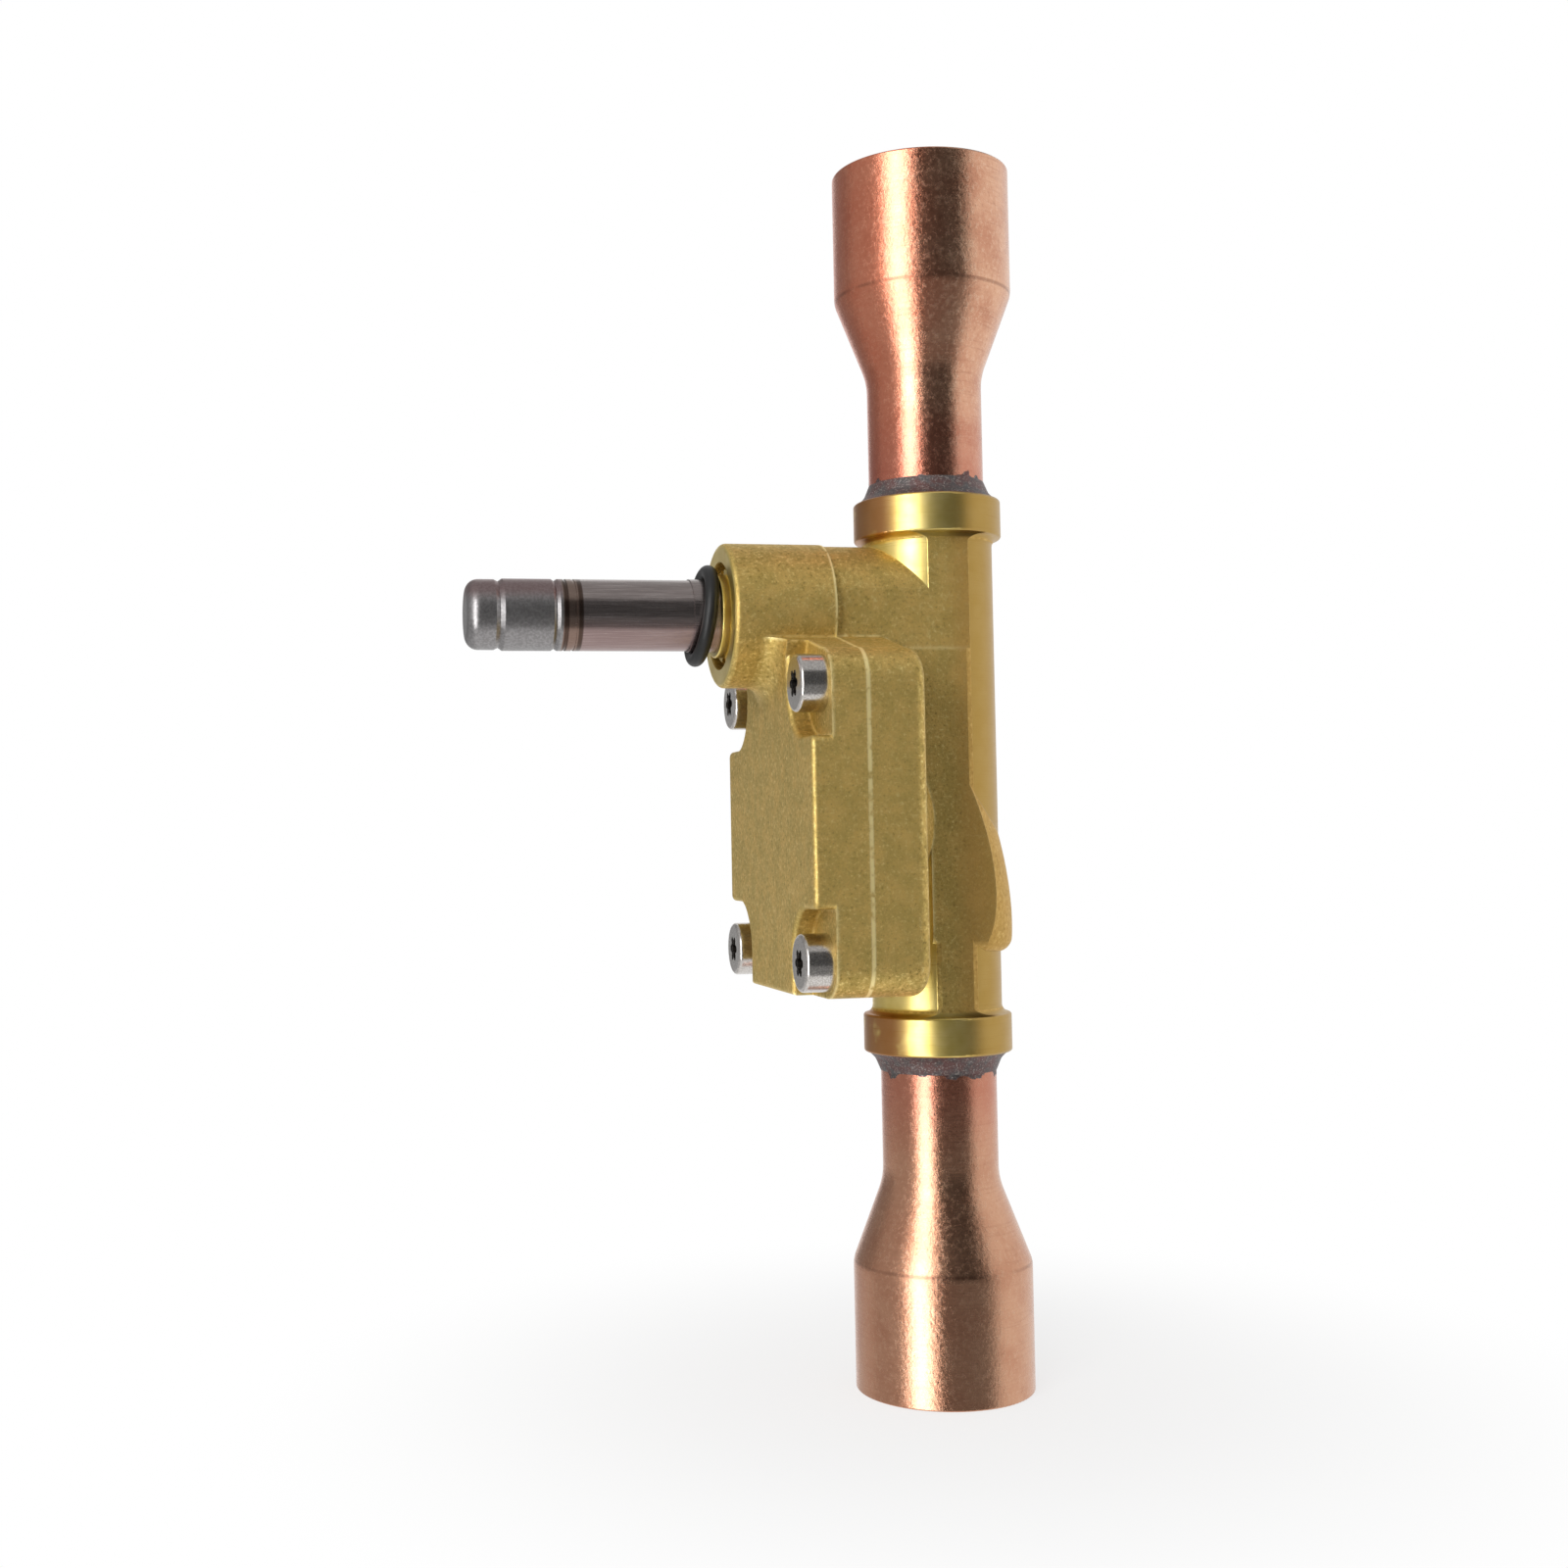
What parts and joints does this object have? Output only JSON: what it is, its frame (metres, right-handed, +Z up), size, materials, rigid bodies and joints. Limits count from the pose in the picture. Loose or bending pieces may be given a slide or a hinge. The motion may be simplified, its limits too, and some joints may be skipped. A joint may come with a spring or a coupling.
{
  "type": "refrigeration solenoid valve",
  "caption": "Brass servo solenoid valve with swaged copper solder sockets in line, a bolted square cover and a bare armature tube standing out of the cover's boss.",
  "frame": {"origin": "centre of the lower socket's mouth", "axes": "+Z up the flow line, -X along the armature tube, the tube axis in the XZ plane"},
  "size_m": [0.1078, 0.063, 0.236],
  "materials": {
    "cast_brass": "shot-blasted forging, bright on worn edges",
    "turned_brass": "turned",
    "copper": "bright drawn copper",
    "braze": "dull, heat-stained",
    "stainless": "polished",
    "core_steel": "satin",
    "screw_steel": "bright",
    "black_rubber": "satin",
    "soft_disc": "smooth",
    "gasket": "soft, flat",
    "spring_steel": "drawn wire"
  },
  "bodies": {
    "housing": {"valve_body": "cast_brass", "cover": "cast_brass", "cover_screws": "screw_steel", "upper_connector": "copper", "lower_connector": "copper", "upper_braze_ring": "braze", "lower_braze_ring": "braze", "armature_tube": "stainless", "fixed_core": "core_steel", "shading_ring": "copper", "tube_nut": "turned_brass", "tube_seal_ring": "black_rubber", "coil_seal_ring": "black_rubber", "channel_seal_ring": "black_rubber", "pilot_orifice": "turned_brass", "pilot_orifice_gasket": "gasket"},
    "armature": {"armature": "core_steel", "pilot_seal_plate": "soft_disc", "armature_spring": "spring_steel"},
    "servo": {"diaphragm": "black_rubber", "diaphragm_washer": "screw_steel", "disc_holder": "turned_brass", "main_valve_disc": "soft_disc", "clamp_stem": "turned_brass", "clamp_nut": "screw_steel", "closing_spring": "spring_steel"}
  },
  "joints": [
    {"name": "armature_lift", "type": "slide", "parent": "housing", "child": "armature", "axis": [-1, 0, 0], "range_m": [0, 0.0025], "stiffness_N_per_m": 300, "springref_m": -0.008, "deforming": ["armature_spring"]},
    {"name": "servo_lift", "type": "slide", "parent": "housing", "child": "servo", "axis": [-1, 0, 0], "range_m": [0, 0.004], "stiffness_N_per_m": 800, "springref_m": -0.006, "deforming": ["diaphragm", "closing_spring"]}
  ]
}
